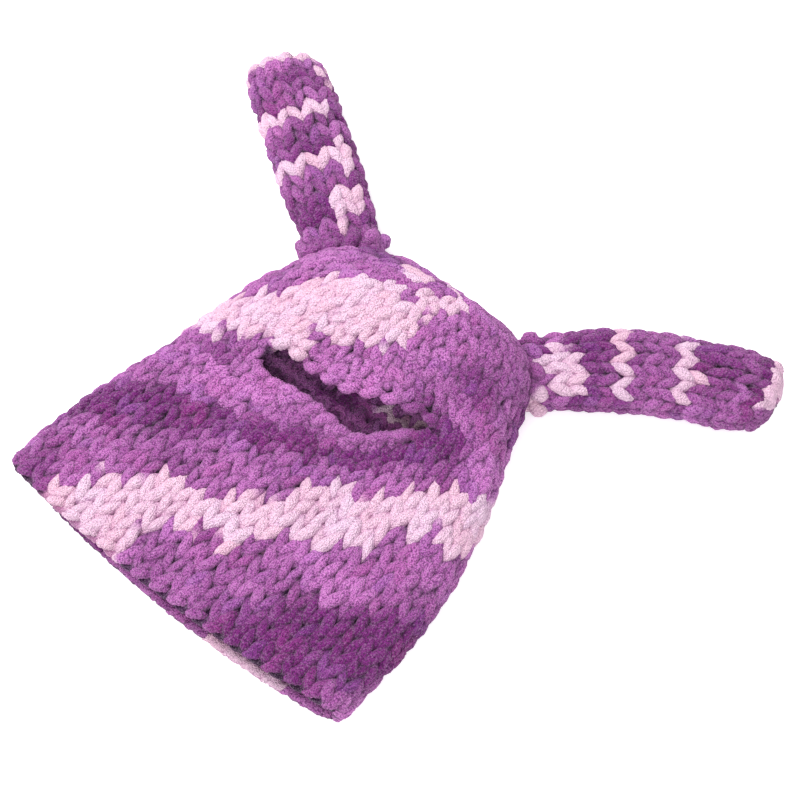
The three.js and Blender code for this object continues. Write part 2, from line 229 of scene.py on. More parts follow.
@dataclass(frozen=True)
class HoodForm:
    """The hood's outer skin, from the neck opening at 0 to the crown's pole at 1."""

    width: float = 236.0
    length: float = 226.0
    hem_height: float = 27.0
    crown_height: float = 60.0
    wall: float = 9.0
    slit_place: float = 131.0
    slit_length: float = 104.0
    slit_shift: float = -3.0
    slit_gap: float = 15.0
    slit_yawn: float = 11.0
    slit_lift: float = 27.0
    slit_blunt: float = 0.26
    slit_corner: float = 9.0
    corner_at: tuple[float, float] = (-0.85, 0.3)
    lip_rise: float = 10.0
    lip_drop: float = 5.0
    yawn: tuple[float, float] = (0.42, 0.3)
    lift: tuple[float, float] = (0.7, 0.15)
    lift_reach: tuple[float, float] = (0.25, 0.2)
    lip_reach: tuple[float, float] = (0.1, 0.12)
    hem_bow: float = 8.0
    hem_peep: float = 2.0
    hem_fade: float = 0.35
    skew: float = 7.0
    back_turn: float = 0.4
    grid: int = 240
    finest: int = 4001
    pole: float = 0.965
    rings: Table = Table(
        "at front_along front_up back_along back_up width centre turn fold belly",
        [
            [0.0, 0.0, 0.0, 0.0, 0.0, 1.0, -0.07, 0.3, 1.0, 0.0],
            [0.18, 0.19, 0.03, 0.19, 0.0, 0.99, -0.045, 0.35, 0.9, 0.0],
            [0.34, 0.36, 0.07, 0.37, 0.0, 0.945, -0.015, 0.4, 0.82, 0.0],
            [0.5, 0.53, 0.16, 0.57, 0.0, 0.865, -0.01, 0.5, 0.74, 0.0],
            [0.58, 0.615, 0.4, 0.68, 0.0, 0.81, -0.02, 0.6, 0.7, 0.0],
            [0.67, 0.71, 0.8, 0.8, 0.0, 0.74, -0.025, 0.7, 0.66, 0.0],
            [0.78, 0.815, 1.0, 0.935, 0.06, 0.625, -0.015, 0.85, 0.66, 0.1],
            [0.88, 0.895, 0.98, 1.0, 0.36, 0.46, 0.01, 1.0, 0.7, 0.3],
            [0.95, 0.94, 0.86, 0.985, 0.66, 0.26, 0.03, 1.0, 0.8, 0.5],
            [1.0, 0.965, 0.74, 0.965, 0.857, 0.0, 0.04, 1.0, 1.0, 0.5],
        ],
    )
    swells: tuple[tuple[float, float, float, float, float], ...] = (
        (-0.5, 0.47, 0.3, 0.09, -0.35),
        (0.3, 0.42, 0.34, 0.1, -0.3),
        (0.52, 0.72, 0.2, 0.13, 0.45),
        (-0.3, 0.78, 0.24, 0.1, 0.25),
        (0.2, 0.12, 0.4, 0.1, 0.25),
        (-0.62, 0.2, 0.22, 0.16, 0.2),
    )

    @property
    def slit_at(self) -> float:
        """The place along the hood where its front reaches the slit."""
        places = np.linspace(0, 1, self.finest)
        reached = self.rings.along("front_along", places) * self.length
        return float(np.interp(self.slit_place, reached, places))

    def sections(self, at: Array) -> dict[str, Array]:
        """The plane and the form of the rings at some places.

        Args:
            at: Places along the hood.

        Returns:
            The rings' back points, upward directions, heights, half widths, middles, slopes and corners.
        """
        ring = {name: self.rings.along(name, at) for name in self.rings.columns}
        front_up = self.hem_height + ring["front_up"] * (self.crown_height - self.hem_height)
        front = np.stack([ring["front_along"] * self.length, front_up], axis=-1)
        back_up = np.maximum(ring["back_up"], 0) * self.crown_height
        back = np.stack([ring["back_along"] * self.length, back_up], axis=-1)
        return {
            "back": back,
            "up": unit(front - back),
            "height": np.linalg.norm(front - back, axis=-1),
            "half": np.maximum(ring["width"], 0) * self.width / 2,
            "centre": ring["centre"] * self.width / 2,
            "slope": ring["turn"] * math.tan(math.radians(self.skew)),
            "fold": ring["fold"],
            "belly": np.maximum(ring["belly"], 0),
        }

    def slit_shares(self) -> tuple[float, float]:
        """Places round the hood of the slit's right end and of its left end."""
        ring = self.sections(np.array([self.slit_at]))
        shares = np.linspace(0, 1, FINE)
        outline = ring_outlines(ring["half"], ring["height"], ring["fold"], ring["belly"], shares)[0]
        girth = np.hypot(*np.diff(outline, axis=0).T).sum()
        half = self.slit_length / 2
        return 0.5 - (self.slit_shift + half) / girth, 0.5 - (self.slit_shift - half) / girth

    def along_slit(self, u: Array) -> Array:
        """Places along the slit: -1 at its left end and 1 at its right."""
        right, left = self.slit_shares()
        return 1 - 2 * (np.mod(u, 1.0) - right) / (left - right)

    def skin(self, lip: Lip) -> Skin:
        """The hood's outer skin with one lip in its open place.

        Each ring's outline is sheared by the skew, bowed at the hem, lifted at the slit's right end, parted
        along the slit, and raised or sunk by the swells and by the lip's bulge.

        Args:
            lip: The lower lip for the part from the hem to the slit, and the upper lip for the part above.

        Returns:
            The skin.
        """
        at = np.linspace(0, 1, self.grid + 1)
        u = np.linspace(0, 1, self.grid * 2 + 1)
        ring = self.sections(at)
        outline = ring_outlines(ring["half"], ring["height"], ring["fold"], ring["belly"], u)
        across, rise = outline[..., 0], outline[..., 1]
        v = at[:, None]
        front = np.clip(rise / np.maximum(ring["height"][:, None], 1e-9), 0, 1)
        inner = 1 - np.minimum(np.abs(across) / np.maximum(ring["half"][:, None], 1e-9), 1) ** 2
        s = self.along_slit(u)[None, :]
        x = ring["centre"][:, None] + across
        bow = (self.hem_bow + self.hem_peep * (1 - front)) * inner
        bow = bow * np.maximum(1 - v / self.hem_fade, 0) ** 2
        shear = ring["slope"][:, None] * x * (self.back_turn + (1 - self.back_turn) * front)
        rightward = 1 / (1 + np.exp((self.lift[0] - s) / self.lift[1]))
        reach = np.where(v < self.slit_at, self.lift_reach[0], self.lift_reach[1])
        lift = self.slit_lift * bell(v, self.slit_at, reach) * front * inner * rightward
        blunt = np.clip(1 - s * s, 0, 1) ** self.slit_blunt * (np.abs(s) < 1)
        part = self.slit_gap + self.slit_yawn * bell(s, *self.yawn)
        part = (part + self.slit_corner * bell(s, *self.corner_at)) * blunt
        opened = part * bell(v, self.slit_at, self.lip_reach[lip is Lip.UPPER])
        y = ring["back"][:, :1] + ring["up"][:, :1] * rise + shear + lift - bow + lip * opened / 2
        aside, onward = x / (self.width / 2), y / self.length
        swell = sum(
            high * self.wall * bell(aside, sx, wide) * bell(onward, sy, far) * front**2
            for sx, sy, wide, far, high in self.swells
        )
        height = -self.lip_drop if lip is Lip.LOWER else self.lip_rise
        bulge = opened / (self.slit_gap + self.slit_yawn) * height
        z = ring["back"][:, 1:] + ring["up"][:, 1:] * rise + swell + bulge
        return Skin(np.stack([x, y, np.maximum(z, 0)], axis=-1), settle=self.pole)


@dataclass(frozen=True)
class EarForm:
    """An ear's outer skin, from the root under the crown's edge at 0 to the tip at 1."""

    side: int
    angle: float
    bend: float
    shift: float
    slope: float
    length: float = 159.0
    width: float = 51.0
    thickness: float = 25.0
    spread: float = 104.0
    inset: float = 22.0
    wall: float = 9.0
    fold: float = 0.9
    tip_up: float = 0.42
    drawn: tuple[float, float] = (0.72, 0.97)
    pole: float = 0.95
    hood_length: float = 226.0
    grid: int = 160
    forms: Table = Table(
        "at width thick",
        [
            [0.0, 0.8, 0.9],
            [0.25, 0.92, 0.95],
            [0.45, 1.0, 1.0],
            [0.7, 0.97, 0.95],
            [0.88, 0.95, 0.95],
            [0.96, 0.74, 0.8],
            [1.0, 0.0, 0.0],
        ],
    )

    def skin(self) -> Skin:
        """The ear's skin: a flattened tube along a line that bends sideways by a half wave.

        Near the tip, the side that the ear bends from is drawn back by its distance across times the slope.
        """
        at = np.linspace(0, 1, self.grid + 1)
        turned = math.radians(self.angle)
        forward = np.array([self.side * math.sin(turned), math.cos(turned), 0])
        aside = np.array([-self.side * math.cos(turned), math.sin(turned), 0])
        root_up = self.hood_length - self.inset + self.shift * self.width
        root = np.array([self.side * self.spread / 2, root_up, 0])
        wave = math.pi * at[:, None]
        line = root + forward * self.length * at[:, None] + aside * self.bend * self.length * np.sin(wave)
        ahead = unit(forward + aside * self.bend * math.pi * np.cos(wave))
        across = np.cross(ahead, [0.0, 0.0, 1.0])
        half = np.maximum(self.forms.along("width", at), 0) * self.width / 2
        height = np.maximum(self.forms.along("thick", at), 0) * self.thickness
        u = np.linspace(0, 1, self.grid + 1)
        outline = ring_outlines(half, height, np.full_like(at, self.fold), np.zeros_like(at), u)
        drawn = self.slope * np.maximum(outline[..., :1], 0) * smooth(at, *self.drawn)[:, None, None]
        points = line[:, None] + across[:, None] * outline[..., :1] - ahead[:, None] * drawn
        points[..., 2] = outline[..., 1]
        points[-1, :, 2] = self.tip_up * self.thickness
        return Skin(points, settle=self.pole)


# Yarn


class Dye(Enum):
    """The colours that the yarn is dyed, as it runs from one into the next."""

    PINK = (245, 210, 234)
    BLUSH = (246, 198, 220)
    LILAC = (212, 129, 205)
    PLUM = (126, 44, 123)
    VIOLET = (162, 98, 190)
    MAGENTA = (190, 74, 160)

    @property
    def colour(self) -> Array:
        """The dye as a linear colour."""
        return linear(*self.value)


@dataclass(frozen=True)
class Line:
    """The yarn's line: its points, outward directions, radius and height, and its place in stitches."""

    path: Array
    up: Array
    radius: Array
    out: Array
    stitch: Array


@dataclass(frozen=True)
class Strand:
    """A line of yarn, with how pale, how deep and how rosy it is dyed at each point.

    A strand along an edge lies open, with no creases beside it, so it gets no painted crease shade.
    """

    line: Line
    pale: Array
    deep: Array
    blush: Array
    closed: bool = True
    no_crease_shade: bool = False


@dataclass(frozen=True)
class Tube:
    """A strand's mesh: its vertices, quads and end triangles, and each vertex's height over the skin."""

    vertices: Array
    quads: Array
    caps: Array
    height: Array


@dataclass(frozen=True)
class Yarn:
    """Chunky chenille: its size, how it winds through a stitch, how finely it is drawn, and its creases.

    The creases are painted shade: colour darkened between the strands, where shade falls. Magenta and
    violet each have their share, and the rosiness where they start and where they are full.
    """

    radius: float = 2.98
    plump: float = 0.15
    squash: float = 0.94
    swing: float = 0.25
    reach: float = 1.0
    weave: float = 1.8
    steps: int = 24
    sides: int = 12
    crumb: float = 0.25
    rest: float = 1.6
    swell: float = 0.08
    # Painted shade between the strands: inner side's weight, fade distances, colours on purple and pale.
    inner: float = 1.45
    crease_shade: tuple[float, float] = (0.9, 4.8)
    crease_shade_deep: Triple = (0.1, 0.04, 0.13)
    crease_shade_pale: Triple = (0.54, 0.33, 0.5)
    magenta: Triple = (0.24, 0.65, 1.0)
    violet: Triple = (0.26, 0.3, 0.0)

    def tube(self, strand: Strand, seed: int) -> Tube:
        """A tube along a path. Its ring is cosine times aside plus sine times up, times the radius.

        Args:
            strand: The yarn's line and its thickness.
            seed: The seed of the crumbs that roughen the yarn.

        Returns:
            The tube.
        """
        line, path = strand.line, strand.line.path
        if strand.closed:
            ahead = unit(np.roll(path, -1, axis=0) - np.roll(path, 1, axis=0))
        else:
            ahead = unit(np.gradient(path, axis=0))
        aside = unit(np.cross(ahead, line.up))
        over = np.cross(aside, ahead)
        turn = np.arange(self.sides) * TURN / self.sides
        noise = np.random.default_rng(seed).normal(0, self.crumb, (len(path), self.sides))
        swell = 1 + self.swell * strand.pale
        size = (line.radius * swell)[:, None] + np.clip(noise, -2 * self.crumb, 2 * self.crumb)
        c, s = np.cos(turn)[None, :, None], self.squash * np.sin(turn)[None, :, None]
        ring = (aside[:, None] * c + over[:, None] * s) * size[..., None]
        height = line.out[:, None] + np.sum(ring * line.up[:, None], axis=-1)
        index = np.arange(len(path) * self.sides).reshape(-1, self.sides)
        after = np.roll(index, -1, axis=0) if strand.closed else index[1:]
        here = index if strand.closed else index[:-1]
        quads = np.stack([here, after, np.roll(after, -1, axis=1), np.roll(here, -1, axis=1)], axis=-1)
        caps = np.zeros((0, 3), int)
        if not strand.closed:
            fan = np.arange(1, self.sides - 1)
            caps = np.concatenate(
                [
                    np.stack([np.full_like(fan, end[0]), end[fan + a], end[fan + b]], axis=-1)
                    for end, a, b in ((index[0], 0, 1), (index[-1], 1, 0))
                ]
            )
        return Tube((path[:, None] + ring).reshape(-1, 3), quads, caps, height.ravel())

    def colours(self, strand: Strand, height: Array, middle: float) -> Array:
        """The yarn's colour on each vertex, with painted shade in the creases between the strands.

        The painted shade is darker and richer than the dye, and fades out by a smooth step of the
        vertex's distance from the middle of the cloth. The inner side's distances count for more, as its
        bumps stand less high.

        Args:
            strand: The strand.
            height: Each vertex's height over the skin.
            middle: The height of the cloth's middle.

        Returns:
            One linear colour for each vertex, and its share of the pale dye as the fourth channel.
        """
        purple = mix(Dye.LILAC.colour, Dye.PLUM.colour, strand.deep)
        for dye, (most, start, full) in ((Dye.MAGENTA, self.magenta), (Dye.VIOLET, self.violet)):
            purple = mix(purple, dye.colour, most * smooth(strand.blush, start, full))
        pink = mix(Dye.PINK.colour, Dye.BLUSH.colour, strand.blush)
        tint = np.repeat(mix(purple, pink, strand.pale), self.sides, axis=0)
        # Painted shade: darker, richer dye towards the cloth's middle, where the strands shade one another.
        crease_shade = mix(np.array(self.crease_shade_deep), np.array(self.crease_shade_pale), strand.pale)
        crease_shade = np.repeat(crease_shade, self.sides, axis=0)
        depth = np.where(height < middle, self.inner * (middle - height), height - middle)
        clear = np.ones_like(height) if strand.no_crease_shade else smooth(depth, *self.crease_shade)
        share = np.repeat(strand.pale, self.sides)[:, None]
        return np.concatenate([mix(tint * crease_shade, tint, clear), share], axis=1)


# Stitches


@dataclass(frozen=True)
class Course:
    """One round of stitches. Its boundaries lie between the stitches, one more than there are stitches."""

    number: int
    stitches: int
    below: Array
    here: Array
    above: Array
    down: Array
    up: Array


@dataclass(frozen=True)
class Piecework:
    """A tube of stocking stitch, worked in courses that lose stitches as the tube narrows.

    It has the stitches in each course, and where the boundaries between the courses lie along the skin, one
    more than the courses.
    """

    counts: list[int]
    places: Array

    def parents(self, k: int) -> Array:
        """For each boundary of a course, the boundary of the course below that it stands on."""
        count, lower = self.counts[k], self.counts[max(k - 1, 0)]
        return np.rint(np.arange(count + 1) * lower / count).astype(int)

    def course(self, k: int, reach: float) -> Course:
        """One course with its boundaries' places round the skin, here and one course below and above.

        Args:
            k: The number of the course from the start.
            reach: How far its loops reach into the next course.

        Returns:
            The course.
        """
        count = self.counts[k]
        here = np.arange(count + 1) / count
        below = self.parents(k) / self.counts[max(k - 1, 0)]
        above = here
        if k + 1 < len(self.counts):
            upper = self.counts[k + 1]
            above = np.interp(np.arange(count + 1), self.parents(k + 1), np.arange(upper + 1) / upper)
        return Course(k, count, below, here, above, np.full(count + 1, reach), np.full(count, reach))

    def along(self, place: Array) -> Array:
        """Places along the skin of places counted in courses."""
        return np.interp(place, np.arange(len(self.places)), self.places)


@dataclass(frozen=True)
class Edging:
    """A strand that winds round an edge of the cloth, one turn to each stitch, as cast-on yarn does.

    With t running through one turn in each stitch, it lies along the cloth by a place plus a wave times the
    cosine of t, and out by a height plus a coil times the sine of t. A lump, at a place round the cloth,
    stands out by so much more and lies so much farther along.
    """

    place: float
    wave: float = 0.2
    height: float = 0.0
    coil: float = 1.6
    size: float = 1.0
    bead: float = 0.12
    lumps: tuple[tuple[float, float, float], ...] = ()
    lump_reach: float = 0.05


@dataclass(frozen=True)
class Hand:
    """How uneven hand knitting is: the spread of each stitch's swing, lean, rise, legs and thickness.

    The last two are the spread of an edge's place and of its thickness.
    """

    swing: float = 0.13
    lean: float = 0.06
    rise: float = 0.08
    leg: float = 0.5
    fat: float = 0.07
    edge: float = 0.03
    edge_fat: float = 0.05


@dataclass(frozen=True)
class Cloth:
    """A skin that yarn is laid on, with the courses that cover it and the cloth's thickness."""

    yarn: Yarn
    work: Piecework
    skin: Skin
    wall: float
    hand: Hand = Hand()

    def turns(self, count: int) -> tuple[Array, Array]:
        """The numbers of some stitches as a column, and t at each step of a stitch as a row."""
        return np.arange(count)[:, None], TURN * (np.arange(self.yarn.steps)[None, :] / self.yarn.steps)

    def lay(self, u: Array, v: Array, out: Array, radius: Array, stitch: Array) -> Line:
        """The yarn's line through places round the skin, along it and out from it."""
        path, normals = self.skin.place(u.ravel(), v.ravel(), out.ravel())
        return Line(path, normals, radius.ravel(), out.ravel(), stitch.ravel())

    def wind(self, course: Course, seed: int) -> Line:
        """The yarn's line through one course.

        With t running from 0 to one turn in each stitch, the line goes round by t plus a swing times the
        sine of 2 t, along by minus the cosine of t times the loop's reach, and out by minus the cosine of 2 t
        times the weave, so each loop's legs lie outside and its head and feet inside.

        Args:
            course: The course.
            seed: The seed of its unevenness.

        Returns:
            The line.
        """
        yarn, hand, one = self.yarn, self.hand, (course.stitches, 1)
        draw = np.random.default_rng(seed).normal
        j, t = self.turns(course.stitches)
        left, right = course.down[:-1, None], course.down[1:, None]
        reach = np.where(np.cos(t) > 0, np.where(t < math.pi, left, right), course.up[:, None])
        swing = yarn.swing * (1 + draw(0, hand.swing, one))
        lean = draw(0, hand.lean, one) * np.sin(t) ** 2
        rise = draw(0, hand.rise, one) * np.sin(t) ** 2
        x = t / TURN + swing * np.sin(2 * t) + lean
        h = -np.cos(t) * reach + rise
        up, down = np.maximum(h, 0), np.maximum(-h, 0)
        here = 1 - up - down
        level = [course.here[i] * here + course.above[i] * up + course.below[i] * down for i in (j, j + 1)]
        u = level[0] + (level[1] - level[0]) * x
        v = self.work.along(course.number + 0.5 + h)
        # Each leg lies a little higher or lower than the next.
        leg = np.where(t < math.pi, draw(0, hand.leg, one), draw(0, hand.leg, one))
        out = -np.cos(2 * t) * yarn.weave + leg * np.sin(t) ** 2 - self.wall / 2
        fat = 1 + draw(0, hand.fat, one) * np.sin(t) ** 2
        return self.lay(u, v, out, yarn.radius * fat * (1 - yarn.plump * np.cos(2 * t)), j + t / TURN)

    def edge(self, edging: Edging, round_to: Array, seed: int) -> Line:
        """The line of a strand along an edge.

        Args:
            edging: How the strand winds.
            round_to: Places round the skin between its stitches, one more than there are stitches.
            seed: The seed of its unevenness.

        Returns:
            The line.
        """
        one = (len(round_to) - 1, 1)
        draw = np.random.default_rng(seed).normal
        j, t = self.turns(one[0])
        u = round_to[j] + (round_to[j + 1] - round_to[j]) * t / TURN
        place = edging.place + edging.wave * np.cos(t) + draw(0, self.hand.edge, one) * np.sin(t / 2) ** 2
        out = edging.height + edging.coil * np.sin(t) - self.wall / 2 + np.zeros_like(u)
        for round_at, more, farther in edging.lumps:
            lump = bell(u, round_at, edging.lump_reach)
            out += more * lump
            place += farther * lump
        fat = 1 + draw(0, self.hand.edge_fat, one) * np.sin(t / 2) ** 2
        radius = self.yarn.radius * edging.size * fat * (1 + edging.bead * np.sin(t))
        return self.lay(u, self.work.along(place), out, radius, j + t / TURN)


# Colours along the yarn


def drifting(values: Array, seed: int, scale: float) -> Array:
    """A slow random curve from 0 to 1 along some values: seeded points one scale apart, joined smoothly."""
    knots = np.random.default_rng(seed).uniform(0, 1, int(values.max() / scale) + 3)
    x = values / scale
    i = x.astype(int)
    return knots[i] + (knots[i + 1] - knots[i]) * smooth(x - i, 0, 1)


def between(place: Array, start: float, end: float, soft: float = 0.06) -> Array:
    """1 from a start to an end and 0 outside, with soft ends."""
    return smooth(place, start - soft, start + soft) * (1 - smooth(place, end - soft, end + soft))


@dataclass(frozen=True)
class Wander:
    """How the purple dye wanders along the yarn, slowly and fast, about its usual depth.

    The seeds and the lengths in stitches are those of the slow turns, of the fast ones and of the rosiness.
    """

    seeds: tuple[int, int, int]
    usual: float
    slow: float
    fast: float
    lengths: Triple = (1.9, 0.8, 0.9)

    def along(self, run: Array) -> tuple[Array, Array]:
        """How deep and how rosy the yarn is at some places along it."""
        slow, fast, rosy = (drifting(run, seed, length) for seed, length in zip(self.seeds, self.lengths))
        return self.usual + self.slow * (slow - 0.5) + self.fast * (fast - 0.5), rosy


@dataclass(frozen=True)
class HoodDye:
    """Colours on the hood. The dyed yarn pools, so its stretches drift round from course to course.

    The charts give, for courses counted from the hem, where a stretch starts and ends in stitches across
    from the middle of the front. Beyond their rows it goes on by the drift. Specks add a few pale stitches
    of one course and gaps take some away. Patches make the purple deeper, or lighter where they are less
    than 0. The one at course 14.5, 17.5 stitches across, is painted light: it lightens the inside seen
    through the slit, where shade falls.
    """

    stitches: float = 40.0
    drift: float = 1.12
    pooled: float = 0.72
    pool_edge: float = 0.8
    course_run: float = 50.0
    wander: Wander = Wander((77, 79, 78), 0.36, 0.36, 0.3)
    lower: Table = Table(
        "course start end",
        [
            [0, -7.0, -2.4], [1, -5.9, -2.7], [2, -5.7, -1.9], [3, -4.3, -0.8], [4, -3.9, 1.0],
            [5, -1.0, 2.1], [6, -0.3, 4.0], [7, 0.8, 5.6], [8, 1.1, 5.6], [9, 2.0, 7.1], [10, 5.0, 8.9],
            [11, 6.1, 9.7], [12, 7.0, 10.6], [14, 9.8, 13.2],
        ],
    )
    upper: Table = Table(
        "course start end",
        [
            [0, -26.4, -22.3], [12, -13.5, -9.3], [14, -11.0, -6.2], [15, -9.0, -3.5], [16, -7.6, -1.0],
            [17, -6.3, 0.3], [18, -6.2, 1.2], [19, -5.6, 1.2], [20, -4.3, 1.1], [21, -3.3, 1.3],
            [22, -0.8, 3.3], [23, -5.0, 4.5],
        ],
    )
    deep_face: Table = Table(
        "course start end",
        [
            [5, -11.0, -7.0], [7, -9.0, -4.4], [8, -7.6, -3.0], [9, -5.2, -1.4], [10, -3.4, 0.6],
            [11, -1.0, 3.6], [12, 1.2, 5.0], [13, 4.0, 6.0],
        ],
    )
    deep_hem: Table = Table(
        "course start end",
        [
            [0, 2.6, 8.6], [1, 2.8, 9.4], [2, 3.6, 10.0], [3, 4.6, 10.4], [4, 6.6, 10.8],
        ],
    )
    specks: tuple[tuple[int, float, float], ...] = (
        (14, -5.0, -2.9), (3, 0.3, 0.9), (24, -9.0, -3.0), (14, 16.2, 17.3), (15, 16.6, 18.9),
    )
    gaps: tuple[tuple[int, float, float], ...] = (
        (9, 2.9, 3.8), (10, 6.9, 7.3), (21, -1.6, -0.1), (23, -2.8, 0.9), (24, -2.9, 1.6),
        (25, -6.0, 3.0),
    )
    dye_and_painted_light_patches: Table = Table(
        "course across rows wide deep",
        [
            [17.0, 6.5, 2.6, 2.2, 0.55], [4.0, 8.5, 1.5, 1.5, 0.2], [10.5, -5.5, 1.3, 2.0, -0.25],
            [0.5, -8.5, 1.2, 1.2, 0.4], [12.5, -7.0, 1.0, 1.2, 0.4], [4.6, 5.0, 1.0, 2.0, -0.5],
            [14.6, 0.0, 1.5, 3.0, -0.5], [13.0, 7.5, 1.5, 1.5, -0.2], [0.3, 9.0, 1.0, 1.5, -0.5],
            [12.6, -3.5, 1.0, 1.6, -0.4], [20.0, -7.0, 2.0, 2.0, -0.3], [12.0, -1.0, 1.0, 2.0, 0.3],
            [12.0, 6.0, 1.0, 1.4, 0.5], [4.0, -2.5, 1.2, 2.5, 0.4], [14.0, 4.3, 1.0, 1.3, 0.4],
            # The last row here is painted light: it lightens the inside seen through the slit, where shade
            # falls.
            [17.0, 8.2, 1.8, 1.3, -0.6], [15.2, 7.6, 1.3, 2.2, -0.75], [14.5, 17.5, 3.5, 4.5, -0.6],
            [18.5, 2.4, 2.0, 1.4, -0.4], [7.5, 7.5, 1.2, 1.5, -0.3], [6.0, -10.0, 1.0, 1.0, -0.5],
        ],
    )

    def charted(self, chart: Table, k: int, across: Array, soft: float = 0.06) -> Array:
        """1 inside a chart's stretch and 0 outside, on every lap of the hood.

        Args:
            chart: The chart.
            k: The course.
            across: Places in stitches across from the middle of the front.
            soft: How soft the stretch's ends are.

        Returns:
            The share at each place.
        """
        drifted = self.drift * chart.places
        start, end = (
            float(np.interp(k, chart.places, chart.columns[name] - drifted)) + self.drift * k
            for name in ("start", "end")
        )
        laps = (-self.stitches, 0.0, self.stitches)
        return sum(between(across, start + lap, end + lap, soft) for lap in laps)

    def tone(self, number: int, stitch: Array, count: int) -> Shares:
        """How pale, how deep and how rosy the yarn is.

        Args:
            number: The course.
            stitch: Places in stitches along it.
            count: The stitches in the course.

        Returns:
            The three shares at each place.
        """
        across = self.stitches / 2 - stitch * self.stitches / count
        pale = self.charted(self.lower, number, across) + self.charted(self.upper, number, across)
        for course, start, end in self.specks:
            pale += between(across, start, end) * (course == number)
        for course, start, end in self.gaps:
            pale *= 1 - between(across, start, end) * (course == number)
        deep, rosy = self.wander.along(stitch + self.course_run * number)
        for chart in (self.deep_face, self.deep_hem):
            deep += self.pooled * self.charted(chart, number, across, self.pool_edge)
        # Patches of deeper or lighter purple; the one inside the slit is painted light.
        for course, middle, rows, wide, more in zip(*self.dye_and_painted_light_patches.columns.values()):
            deep += more * bell(number, course, rows) * bell(across, middle, wide)
        return np.clip(pale, 0, 1), np.clip(deep, 0, 1), rosy


@dataclass(frozen=True)
class EarDye:
    """Colours on an ear. Each pale stretch has its course and the stitches that it starts and ends at."""

    pale: tuple[tuple[int, float, float], ...]
    wander: Wander
    course_run: float = 20.0

    def tone(self, number: int, stitch: Array) -> Shares:
        """How pale, how deep and how rosy the yarn is.

        Args:
            number: The course.
            stitch: Places in stitches along it.

        Returns:
            The three shares at each place.
        """
        pale = np.zeros_like(stitch)
        for course, start, end in self.pale:
            pale += between(stitch, start, end) * (course == number)
        deep, rosy = self.wander.along(stitch + self.course_run * number)
        return np.clip(pale, 0, 1), np.clip(deep, 0, 1), rosy


# Meshes


@dataclass
class Loom:
    """Gathers a panel's strands into one mesh, with the yarn's colour and painted shade on each vertex."""

    name: str
    cloth: Cloth
    seed: int
    strands: list[Strand] = field(default_factory=list)
    edge_seed: int = 70

    def knit(self, course: Course, seed: int, tone: Tone) -> None:
        """Knits one course, with its seed and with what gives the dye at places in stitches."""
        line = self.cloth.wind(course, seed)
        self.strands.append(Strand(line, *tone(line.stitch)))

    def trim(self, edging: Edging, round_to: Array, tone: Tone, closed: bool = True) -> None:
        """Winds a strand along an edge, through its stitches' places round the skin."""
        line = self.cloth.edge(edging, round_to, self.seed + self.edge_seed)
        self.strands.append(Strand(line, *tone(line.stitch), closed, no_crease_shade=True))

    def settle(self, points: Array) -> Array:
        """Points near the table pressed up from it: a low height z becomes h times e to (z / h - 1)."""
        low = self.cloth.yarn.rest
        points[:, 2] = np.where(points[:, 2] < low, low * np.exp(points[:, 2] / low - 1), points[:, 2])
        return points

    def cells(self, counts: list[int], margin: float = 0.06) -> Array:
        """A flat map of the quads: each stitch's length of tube unrolled into its own cell of a grid.

        Args:
            counts: How many rings of quads each strand has.
            margin: The share of a cell that stays empty at each edge.

        Returns:
            The map's coordinates for the corners of all quads.
        """
        steps, sides = self.cloth.yarn.steps, self.cloth.yarn.sides
        stitches = [-(-rings // steps) for rings in counts]
        across = max(1, round(math.sqrt(sum(stitches) / 2)))
        down = -(-sum(stitches) // across)
        over = (np.arange(sides)[None, :, None] + np.array([0, 0, 1, 1])) / sides
        maps, first = [], 0
        for rings, used in zip(counts, stitches):
            ring = np.arange(rings)[:, None, None]
            along = (ring % steps + np.array([0, 1, 1, 0])) / steps
            cell = first + ring // steps
            x = (cell % across + margin + (1 - 2 * margin) * along + 0 * over) / across
            y = (cell // across + margin + (1 - 2 * margin) * over + 0 * along) / down
            maps.append(np.stack([x, y], axis=-1).reshape(-1, 2))
            first += used
        return np.concatenate(maps)

    def make(self, shift: Array) -> bpy.types.Object:
        """Builds the mesh object.

        Args:
            shift: What moves the strands into the row's frame.

        Returns:
            The object, at the origin, in metres.
        """
        yarn, middle = self.cloth.yarn, -self.cloth.wall / 2
        tubes = [yarn.tube(strand, self.seed + n) for n, strand in enumerate(self.strands)]
        starts = np.cumsum([0] + [len(tube.vertices) for tube in tubes])
        points = self.settle(np.concatenate([tube.vertices for tube in tubes]) + shift) * MM
        quads = np.concatenate([tube.quads.reshape(-1, 4) + start for tube, start in zip(tubes, starts)])
        caps = np.concatenate([tube.caps + start for tube, start in zip(tubes, starts)])
        pairs = zip(self.strands, tubes)
        # The vertex colours hold the dye and the painted crease shade.
        tint = np.concatenate([yarn.colours(strand, tube.height, middle) for strand, tube in pairs])
        mesh = bpy.data.meshes.new(self.name)
        mesh.vertices.add(len(points))
        mesh.vertices.foreach_set("co", points.astype(np.float32).ravel())
        loops = np.concatenate([quads.ravel(), caps.ravel()]).astype(np.int32)
        sizes = np.concatenate([np.full(len(quads), 4), np.full(len(caps), 3)]).astype(np.int32)
        mesh.loops.add(len(loops))
        mesh.loops.foreach_set("vertex_index", loops)
        mesh.polygons.add(len(sizes))
        mesh.polygons.foreach_set("loop_start", (np.cumsum(sizes) - sizes).astype(np.int32))
        mesh.polygons.foreach_set("use_smooth", np.ones(len(sizes), bool))
        mesh.update(calc_edges=True)
        layer = mesh.color_attributes.new("yarn_colour_and_shade", "FLOAT_COLOR", "POINT")
        layer.data.foreach_set("color", tint.ravel())
        flat = np.concatenate([self.cells([len(tube.quads) for tube in tubes]), np.zeros((caps.size, 2))])
        mesh.uv_layers.new(name="OFBake").data.foreach_set("uv", flat.astype(np.float32).ravel())
        piece = bpy.data.objects.new(self.name, mesh)
        bpy.context.scene.collection.objects.link(piece)
        return piece


# Shaders


